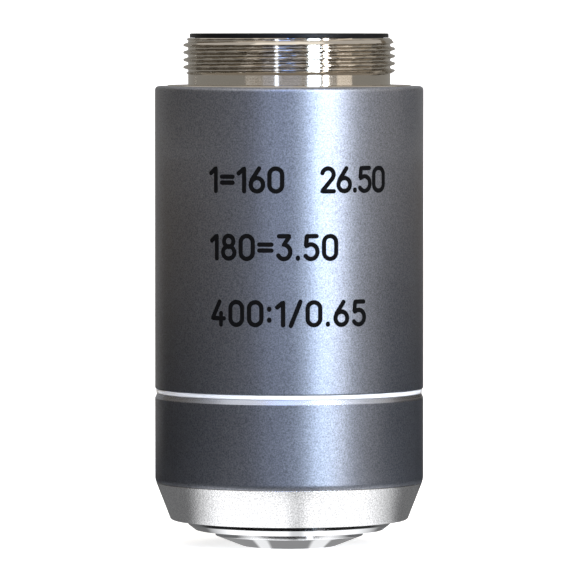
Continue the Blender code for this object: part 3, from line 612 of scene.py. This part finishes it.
def blasted(name, dark, pale, roughness):
    """Bead-blasted, dyed aluminium: fine speckle in colour and relief, broad faint clouds in the sheen."""
    material, nodes, link, shader = surface_shader(name, pale, roughness, 0.92)
    place = nodes.new("ShaderNodeTexCoord")
    speckle = nodes.new("ShaderNodeTexNoise")
    speckle.inputs["Scale"].default_value = 7400.0
    speckle.inputs["Detail"].default_value = 3.0
    speckle.inputs["Roughness"].default_value = 0.65
    shades = nodes.new("ShaderNodeValToRGB")
    shades.color_ramp.elements[0].position = 0.33
    shades.color_ramp.elements[0].color = (*dark, 1.0)
    shades.color_ramp.elements[1].position = 0.68
    shades.color_ramp.elements[1].color = (*pale, 1.0)
    relief = nodes.new("ShaderNodeBump")
    relief.inputs["Strength"].default_value = 0.5
    relief.inputs["Distance"].default_value = 0.000004
    clouds = nodes.new("ShaderNodeTexNoise")
    clouds.inputs["Scale"].default_value = 160.0
    sheen = nodes.new("ShaderNodeMapRange")
    sheen.inputs["To Min"].default_value = roughness - 0.03
    sheen.inputs["To Max"].default_value = roughness + 0.03
    link(place.outputs["Object"], speckle.inputs["Vector"])
    link(place.outputs["Object"], clouds.inputs["Vector"])
    link(speckle.outputs["Fac"], shades.inputs["Fac"])
    link(shades.outputs["Color"], shader.inputs["Base Color"])
    link(speckle.outputs["Fac"], relief.inputs["Height"])
    link(relief.outputs["Normal"], shader.inputs["Normal"])
    link(clouds.outputs["Fac"], sheen.inputs["Value"])
    link(sheen.outputs["Result"], shader.inputs["Roughness"])
    return material


casing_grey = blasted("blasted_grey", (0.165, 0.172, 0.192), (0.367, 0.383, 0.428), 0.38)
stands_for(turned("rear_sleeve", eased([
    (casing_bore, low[2], 0),
    (casing_radius, low[2], 0.00008),
    (casing_radius, high[2], CASING_TOP_EASE),
    (casing_bore, high[2], 0.00005),
])), "rear_casing", casing_grey)

# The markings are cut into the sleeve with a round cutter and filled with black paint, so their
# strokes have round ends. They are plain figures, in three rows that start under one another.

STROKE = 0.00043
CAP_HEIGHT = 0.00215
STROKE_STEP = 0.00006


def bow(centre_u, centre_v, width, height, start, end):
    """Points of an elliptical bow, from start to end degrees, in shares of the figure's height."""
    angle = np.radians(np.linspace(start, end, 25))
    return list(zip(centre_u + width * np.cos(angle), centre_v + height * np.sin(angle)))


# Each figure: its width, and the paths of its strokes, in shares of its height
FIGURES = {
    "0": (0.56, [bow(0.28, 0.72, 0.28, 0.28, 0, 180) + bow(0.28, 0.28, 0.28, 0.28, 180, 360)
                 + [(0.56, 0.72)]]),
    "1": (0.28, [[(0.0, 0.78), (0.26, 1.0), (0.26, 0.0)]]),
    "2": (0.54, [bow(0.27, 0.73, 0.26, 0.27, 165, -35) + [(0.0, 0.0), (0.54, 0.0)]]),
    "3": (0.54, [[(0.04, 1.0), (0.50, 1.0), (0.24, 0.60)] + bow(0.25, 0.31, 0.28, 0.31, 85, -150)]),
    "4": (0.58, [[(0.36, 1.0), (0.0, 0.27), (0.58, 0.27)], [(0.43, 0.50), (0.43, 0.0)]]),
    "5": (0.54, [[(0.50, 1.0), (0.07, 1.0), (0.03, 0.56)] + bow(0.25, 0.32, 0.29, 0.32, 125, -145)]),
    "6": (0.56, [bow(0.28, 0.29, 0.28, 0.29, 90, 450), [(0.005, 0.32), (0.06, 0.52), (0.38, 1.0)]]),
    "8": (0.56, [bow(0.28, 0.76, 0.23, 0.24, 90, 450), bow(0.28, 0.27, 0.28, 0.27, 90, 450)]),
    "=": (0.54, [[(0.0, 0.37), (0.54, 0.37)], [(0.0, 0.63), (0.54, 0.63)]]),
    ".": (0.06, [[(0.03, 0.02), (0.03, 0.06)]]),
    ":": (0.06, [[(0.03, 0.20), (0.03, 0.24)], [(0.03, 0.68), (0.03, 0.72)]]),
    "/": (0.42, [[(0.0, -0.03), (0.42, 1.03)]]),
}

# Rows: the figures, where they start and end round the sleeve, and the height of their foot
ROWS = (
    ("1=160", -0.00785, -0.00066, 0.03442),
    ("26.50", 0.00312, 0.00981, 0.03442),
    ("180=3.50", -0.00775, 0.00452, 0.02806),
    ("400:1/0.65", -0.00766, 0.00750, 0.02183),
)


def stroke_surface(path):
    """A painted stroke: the girth, height and rise of its grid of points.

    The path is sampled evenly and runs half a stroke past its ends, where the section shrinks as
    sqrt(1 - d * d), so the ends are round. The section is an ellipse, PAINT_PROUD high.
    """
    path = np.array(path) * CAP_HEIGHT
    along = np.concatenate([[0], np.cumsum(np.linalg.norm(np.diff(path, axis=0), axis=1))])
    total = along[-1]
    cap = STROKE / 2
    ends = cap * np.sin(np.radians(np.linspace(-90, 0, 6)))
    inner = np.linspace(0, total, max(int(total / STROKE_STEP), 3))
    travel = np.concatenate([ends[:-1], inner, total - ends[::-1][1:]])
    onward = np.clip(travel + STROKE_STEP, STROKE_STEP, total)
    back = np.clip(travel - STROKE_STEP, 0, total - STROKE_STEP)
    heading = np.stack([np.interp(onward, along, path[:, k]) - np.interp(back, along, path[:, k])
                        for k in (0, 1)])
    heading = heading / np.linalg.norm(heading, axis=0)
    past = np.minimum(travel, 0) + np.maximum(travel - total, 0)
    centre = np.stack([np.interp(travel, along, path[:, k]) for k in (0, 1)]) + heading * past
    narrow = np.sqrt(np.clip(1 - (past / cap) ** 2, 0, 1))[:, None]
    around = np.radians(np.arange(0, 360, 30))[None, :]
    side = cap * np.cos(around) * narrow
    girth = centre[0][:, None] - heading[1][:, None] * side
    height = centre[1][:, None] + heading[0][:, None] * side
    return girth, height, PAINT_PROUD * np.sin(around) * narrow


def marking_surface():
    """All strokes as one mesh. The girth bends round the sleeve: x = r sin(u / R), y = -r cos(u / R)."""
    points, quads, count = [], [], 0
    for text, start, end, foot in ROWS:
        widths = [FIGURES[figure][0] * CAP_HEIGHT for figure in text]
        space = (end - start - sum(widths)) / (len(text) - 1)
        pens = start + np.concatenate([[0], np.cumsum(np.array(widths[:-1]) + space)])
        for figure, pen in zip(text, pens):
            for path in FIGURES[figure][1]:
                girth, height, rise = stroke_surface(path)
                turn = (girth + pen) / casing_radius
                radius = casing_radius + rise
                grid = np.stack([radius * np.sin(turn), -radius * np.cos(turn), height + foot], axis=-1)
                index = np.arange(girth.size).reshape(girth.shape) + count
                right = np.roll(index, -1, axis=1)
                corners = [index[:-1], right[:-1], right[1:], index[1:]]
                quads.append(np.stack(corners, axis=-1).reshape(-1, 4))
                points.append(grid.reshape(-1, 3))
                count += index.size
    return np.concatenate(points), np.concatenate(quads)


markings = put_mesh("markings", *marking_surface())
shape = bmesh.new()
shape.from_mesh(markings.data)
bmesh.ops.remove_doubles(shape, verts=shape.verts, dist=MERGE_DISTANCE)
bmesh.ops.recalc_face_normals(shape, faces=shape.faces)
shape.to_mesh(markings.data)
shape.free()
markings.data.shade_smooth()


def add_grain(nodes, link, shader, spacing, depth, strength):
    """Fine dimples: noise in all directions, as relief."""
    place = nodes.new("ShaderNodeTexCoord")
    grain = nodes.new("ShaderNodeTexNoise")
    grain.inputs["Scale"].default_value = 1 / spacing
    relief = nodes.new("ShaderNodeBump")
    relief.inputs["Strength"].default_value = strength
    relief.inputs["Distance"].default_value = depth
    link(place.outputs["Object"], grain.inputs["Vector"])
    link(grain.outputs["Fac"], relief.inputs["Height"])
    link(relief.outputs["Normal"], shader.inputs["Normal"])
    return grain


paint, nodes, link, shader = surface_shader("black_paint", (0.0042, 0.004, 0.004), 0.7, 0.0)
shader.inputs["Specular IOR Level"].default_value = 0.03
add_grain(nodes, link, shader, 0.00011, 0.000003, 0.3)
markings.data.materials.append(paint)
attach(markings, "body")

# The colour ring is a thin aluminium ring in white stoving enamel, clamped between the two casings.
# The enamel is a little uneven and rounds the ring's edges.

low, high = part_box("colour_ring")
enamel, nodes, link, shader = surface_shader("white_enamel", (0.84, 0.84, 0.83), 0.28, 0.0)
add_grain(nodes, link, shader, 0.00055, 0.000006, 0.25)
stands_for(turned("enamel_ring", eased([
    (casing_bore, low[2], 0),
    (high[0], low[2], 0.00006),
    (high[0], high[2], 0.00006),
    (casing_bore, high[2], 0),
])), "colour_ring", enamel)

# The front casing is a short sleeve in the same blasted grey. Its upper chamfer was turned after
# dyeing, so it is bare and bright. The wall eases in at the foot.

FRONT_EASE = 0.00050
FRONT_INSET = 0.00010
CHAMFER_WIDTH = 0.00020
CHAMFER_HEIGHT = 0.00047
low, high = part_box("front_casing")
ease_radius = (FRONT_EASE ** 2 + FRONT_INSET ** 2) / (2 * FRONT_INSET)
ease_angle = np.linspace(-math.asin(FRONT_EASE / ease_radius), 0, 7)
ease_rows = np.stack([casing_radius - ease_radius + ease_radius * np.cos(ease_angle),
                      low[2] + FRONT_EASE + ease_radius * np.sin(ease_angle)], axis=1)
chamfer_foot = high[2] - CHAMFER_HEIGHT
front_section = np.concatenate([
    [(casing_bore, low[2])],
    ease_rows,
    [(casing_radius, low[2] + FRONT_EASE + 0.00005), (casing_radius, chamfer_foot)],
    [(casing_radius - CHAMFER_WIDTH, high[2]), (casing_bore, high[2])],
])
front_sleeve = turned("front_sleeve", front_section, sharp=18)
bare, nodes, link, shader = surface_shader("bare_chamfer", (0.44, 0.48, 0.57), 0.42)
add_turning_lines(nodes, link, shader, 0.00004, 0.000002, 0.3, (0.22, 0.34))
stands_for(front_sleeve, "front_casing", casing_grey)
front_sleeve.data.materials.append(bare)
middles = np.array([face.center.z for face in front_sleeve.data.polygons])
slopes = np.array([face.normal.z for face in front_sleeve.data.polygons])
on_chamfer = (middles > chamfer_foot) & (slopes > 0.1) & (slopes < 0.9)
front_sleeve.data.polygons.foreach_set("material_index", on_chamfer.astype(np.int32))

# The nose ring is the bright cone that closes the shell. It is turned steel, finely blasted and satin
# chromed, and its skirt screws onto the tube inside the front casing.

NOSE_CONE_HEIGHT = 0.00360
NOSE_CONE_ANGLE = math.radians(21.4)
NOSE_LIP = 0.00110
NOSE_LIP_BORE = 0.00995
NOSE_SKIRT_BORE = 0.01087
NOSE_EDGE = 0.00028
low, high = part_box("nose_ring")
nose_seat = low[2] + NOSE_CONE_HEIGHT
nose_foot = high[0] - NOSE_CONE_HEIGHT * math.tan(NOSE_CONE_ANGLE)
skirt = casing_bore - FIT
satin, nodes, link, shader = surface_shader("satin_chrome", (0.78, 0.785, 0.80), 0.22)
grain = add_grain(nodes, link, shader, 0.00014, 0.00002, 1.0)
shades = nodes.new("ShaderNodeValToRGB")
shades.color_ramp.elements[0].position = 0.35
shades.color_ramp.elements[0].color = (0.64, 0.645, 0.66, 1.0)
shades.color_ramp.elements[1].position = 0.65
shades.color_ramp.elements[1].color = (0.93, 0.935, 0.95, 1.0)
link(grain.outputs["Fac"], shades.inputs["Fac"])
link(shades.outputs["Color"], shader.inputs["Base Color"])
stands_for(turned("nose_cone", eased([
    (NOSE_LIP_BORE, low[2], 0.00004),
    (nose_foot, low[2], NOSE_EDGE),
    (high[0], nose_seat, 0.00003),
    (skirt, nose_seat, 0),
    (skirt, high[2], 0),
    (NOSE_SKIRT_BORE, high[2], 0),
    (NOSE_SKIRT_BORE, low[2] + NOSE_LIP, 0),
    (NOSE_LIP_BORE, low[2] + NOSE_LIP, 0),
], steps=6)), "nose_ring", satin)

# The front holder is the cup that clamps the front cap: polished steel, with a bright chamfer. It
# retracts with the barrel.

HOLDER_CHAMFER_WIDTH = 0.00065
HOLDER_CHAMFER_HEIGHT = 0.00050
HOLDER_HOLE = 0.00713
HOLDER_BORE = 0.00865
HOLDER_FLOOR = 0.00110
low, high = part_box("front_holder")
polished, nodes, link, shader = surface_shader("polished_steel", (0.80, 0.81, 0.83), 0.08)
add_turning_lines(nodes, link, shader, 0.00008, 0.0000012, 0.25, (0.06, 0.12))
stands_for(turned("holder_cup", eased([
    (HOLDER_HOLE, low[2], 0.00003),
    (high[0] - HOLDER_CHAMFER_WIDTH, low[2], 0.00005),
    (high[0], low[2] + HOLDER_CHAMFER_HEIGHT, 0.00006),
    (high[0], high[2], 0.00005),
    (HOLDER_BORE, high[2], 0),
    (HOLDER_BORE, low[2] + HOLDER_FLOOR, 0),
    (HOLDER_HOLE, low[2] + HOLDER_FLOOR, 0),
])), "front_holder", polished, "front_barrel")

# The front cap is the conical cell of the front lens, polished as well. Its flange is clamped by the
# holder, and its rim is the lowest edge of the objective.

CAP_OPENING = 0.00420
CAP_RIM = 0.00445
CAP_RADIUS = 0.00710
CAP_CONE_HEIGHT = 0.00104
CAP_FLANGE_BOTTOM = 0.00273
CAP_FLANGE_TOP = 0.00360
CAP_FLANGE_RADIUS = 0.00862
CELL_RADIUS = 0.00725
LENS_RECESS = 0.00032
LENS_CONE = 0.00120
LENS_RADIUS = 0.00610
LENS_BORE = 0.00613
low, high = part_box("front_cap")
stands_for(turned("front_cone", eased([
    (CAP_OPENING, low[2], 0.00004),
    (CAP_RIM, low[2], 0.00005),
    (CAP_RADIUS, low[2] + CAP_CONE_HEIGHT, 0.00008),
    (CAP_RADIUS, CAP_FLANGE_BOTTOM, 0),
    (CAP_FLANGE_RADIUS, CAP_FLANGE_BOTTOM, 0),
    (CAP_FLANGE_RADIUS, CAP_FLANGE_TOP, 0),
    (CELL_RADIUS, CAP_FLANGE_TOP, 0),
    (CELL_RADIUS, high[2], 0),
    (LENS_BORE, high[2], 0),
    (LENS_BORE, LENS_RECESS + LENS_CONE, 0),
    (CAP_RIM + FIT, LENS_RECESS, 0),
    (CAP_OPENING, LENS_RECESS, 0.00004),
])), "front_cap", polished, "front_barrel")

# What the shell hides keeps its CAD shape, apart from the spring: turned brass tube and barrel, steel
# pin and stop ring, black cells and spacers, and the coated lenses.


def dress(material, *names):
    """Gives CAD nodes their material."""
    for name in names:
        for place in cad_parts[name].material_slots:
            place.material = material


brass, nodes, link, shader = surface_shader("turned_brass", (0.66, 0.50, 0.24), 0.30)
add_turning_lines(nodes, link, shader, 0.00010, 0.000006, 0.4, (0.24, 0.40))
dress(brass, "main_tube", "inner_barrel")

steel, nodes, link, shader = surface_shader("drawn_steel", (0.48, 0.48, 0.50), 0.28)
add_turning_lines(nodes, link, shader, 0.00005, 0.000003, 0.3, (0.20, 0.36))
dress(steel, "guide_pin", "barrel_stop_ring")

# The retraction spring is wound from drawn steel wire, with closed end turns ground flat. It stands
# between the barrel's land and the tube's shoulder. In the objective it shortens as the nose goes in;
# here it is drawn at one length, on the body.

WIRE = 0.00100
SPRING_TURNS = 5
SPRING_END_PITCH = 0.00106
SPRING_GROUND = 0.00030


def coil_surface(bottom, top, coil_radius, steps_a_turn=64, sides=20):
    """A wire on a helix, as a grid of rows along the wire by columns round it.

    The wire's middle is at R (cos a, sin a) with a = 2 pi t at turn t. It climbs one end pitch in the
    first and last turn, less what is ground off, and evenly between them. The ground faces are flat.
    """
    length = top - bottom
    turn = np.linspace(0, SPRING_TURNS, SPRING_TURNS * steps_a_turn + 1)
    turn = np.concatenate([[0], turn, [SPRING_TURNS]])[:, None]
    girth = np.full(turn.shape, WIRE / 2)
    girth[[0, -1]] = 0
    into_last = np.maximum(turn - SPRING_TURNS + 1, 0)
    climb = np.clip((turn - 1) / (SPRING_TURNS - 2), 0, 1)
    middle = WIRE / 2 + climb * (length - WIRE - 2 * SPRING_END_PITCH)
    middle += SPRING_END_PITCH * (np.minimum(turn, 1) + into_last)
    middle += SPRING_GROUND * (into_last - np.maximum(1 - turn, 0))
    around = -np.linspace(0, 2 * np.pi, sides, endpoint=False)[None, :]
    radius = coil_radius + girth * np.cos(around)
    height = bottom + np.clip(middle + girth * np.sin(around), 0, length)
    angle = 2 * np.pi * turn
    return np.stack([radius * np.cos(angle), radius * np.sin(angle), height], axis=-1)


low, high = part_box("retraction_spring")
spring = put_surface("coil_spring", coil_surface(low[2], high[2], high[0] - WIRE / 2), closed_rows=False)
stands_for(spring, "retraction_spring", steel)
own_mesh(spring)

# The cells, the spacers, the stop and the clamp ring are turned from the same black anodised stock as
# the lock ring. They are stacked in the barrel's bore.

dress(black, *[f"lens_cell_{number}" for number in range(2, 8)], "front_spacer", "aperture_stop",
      "rear_spacer", "lens_clamp_ring")


def coated_glass(name, colour, index, film):
    """Lens glass with a thin coating that tints its reflections, and a faint haze of dust."""
    material, nodes, link, shader = surface_shader(name, colour, 0.01, 0.0)
    shader.inputs["Transmission Weight"].default_value = 1.0
    shader.inputs["IOR"].default_value = index
    shader.inputs["Thin Film Thickness"].default_value = film
    shader.inputs["Thin Film IOR"].default_value = 1.38
    place = nodes.new("ShaderNodeTexCoord")
    dust = nodes.new("ShaderNodeTexNoise")
    dust.inputs["Scale"].default_value = 1500.0
    dust.inputs["Detail"].default_value = 5.0
    haze = nodes.new("ShaderNodeMapRange")
    haze.inputs["From Min"].default_value = 0.55
    haze.inputs["From Max"].default_value = 0.8
    haze.inputs["To Min"].default_value = 0.005
    haze.inputs["To Max"].default_value = 0.06
    link(place.outputs["Object"], dust.inputs["Vector"])
    link(dust.outputs["Fac"], haze.inputs["Value"])
    link(haze.outputs["Result"], shader.inputs["Roughness"])
    return material


crown = coated_glass("crown_glass", (0.97, 0.99, 0.98), 1.52, 115.0)
flint = coated_glass("flint_glass", (0.97, 0.985, 0.95), 1.68, 125.0)
dress(crown, "lens_2", "lens_3a", "lens_4a", "lens_5a", "lens_5c", "lens_6a", "lens_7")
dress(flint, "lens_3b", "lens_4b", "lens_5b", "lens_6b")

# The front lens is the thick element behind the rim: flat towards the specimen, with a tapered edge
# that seats in the cap's cone, and a steep back.

LENS_EDGE = 0.00180
LENS_BACK_RADIUS = 0.01200
LENS_COLUMNS = 192
low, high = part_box("front_lens")
lens_shoulder = low[2] + LENS_CONE
reach = np.linspace(LENS_RADIUS, 0, 25)
dome = lens_shoulder + LENS_EDGE + np.sqrt(LENS_BACK_RADIUS ** 2 - reach ** 2)
dome -= math.sqrt(LENS_BACK_RADIUS ** 2 - LENS_RADIUS ** 2)
lens_section = np.concatenate([
    [(0, low[2]), (CAP_OPENING, low[2]), (CAP_RIM, low[2]), (LENS_RADIUS, lens_shoulder)],
    np.stack([reach, dome], axis=1),
])
lens_angle = np.linspace(0, 2 * np.pi, LENS_COLUMNS, endpoint=False)
lens_height = np.broadcast_to(lens_section[:, 1:], (len(lens_section), LENS_COLUMNS))
lens_grid = np.stack([lens_section[:, :1] * np.cos(lens_angle), lens_section[:, :1] * np.sin(lens_angle),
                      lens_height], axis=-1)
front_element = put_surface("front_element", lens_grid, closed_rows=False)
stands_for(front_element, "front_lens", crown, "front_barrel")
